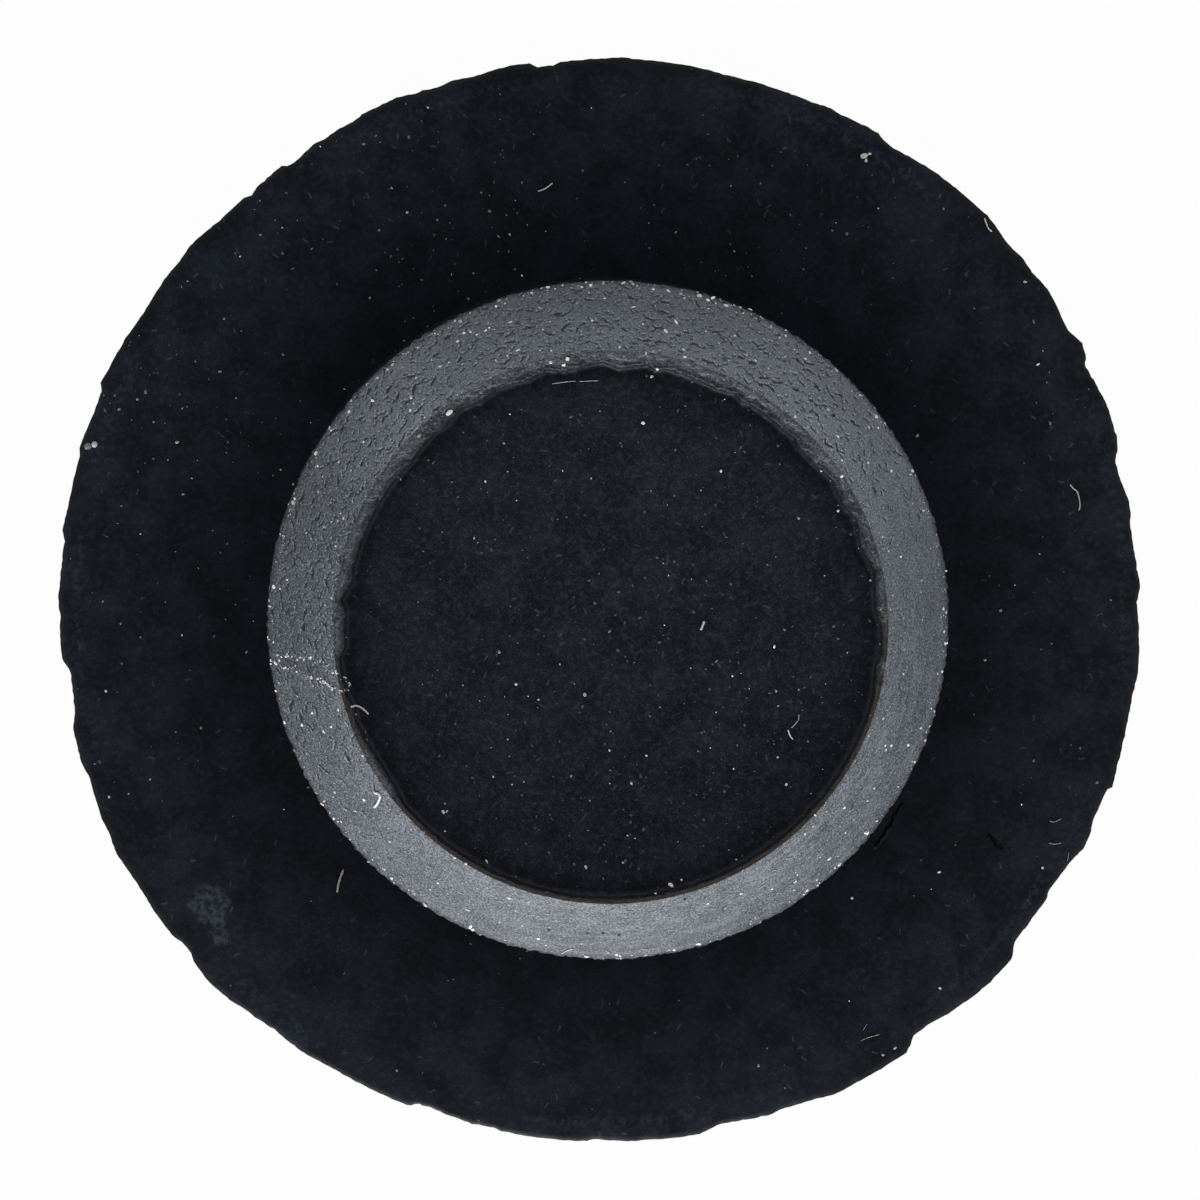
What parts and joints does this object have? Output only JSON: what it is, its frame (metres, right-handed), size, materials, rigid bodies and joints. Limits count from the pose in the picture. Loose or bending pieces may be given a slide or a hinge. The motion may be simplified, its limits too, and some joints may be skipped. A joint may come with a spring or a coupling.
{
  "type": "closed rubber grommet",
  "caption": "Round closed rubber grommet with a wide flange, a panel groove under a tapered snap-in head with a closed end, and a blind hole in the back.",
  "frame": {"origin": "centre of the flange's back face, which the grommet stands on", "axes": "+Z along the grommet's axis, from the flange towards the nose; +X and +Y lie in the back face, with +Y towards the picture's upper edge"},
  "size_m": [0.0245, 0.0247, 0.0073],
  "materials": {
    "black_rubber": "matt black moulded rubber with a grey bloom on the head's taper"
  },
  "bodies": {
    "root": {"grommet": "black_rubber"}
  },
  "joints": []
}
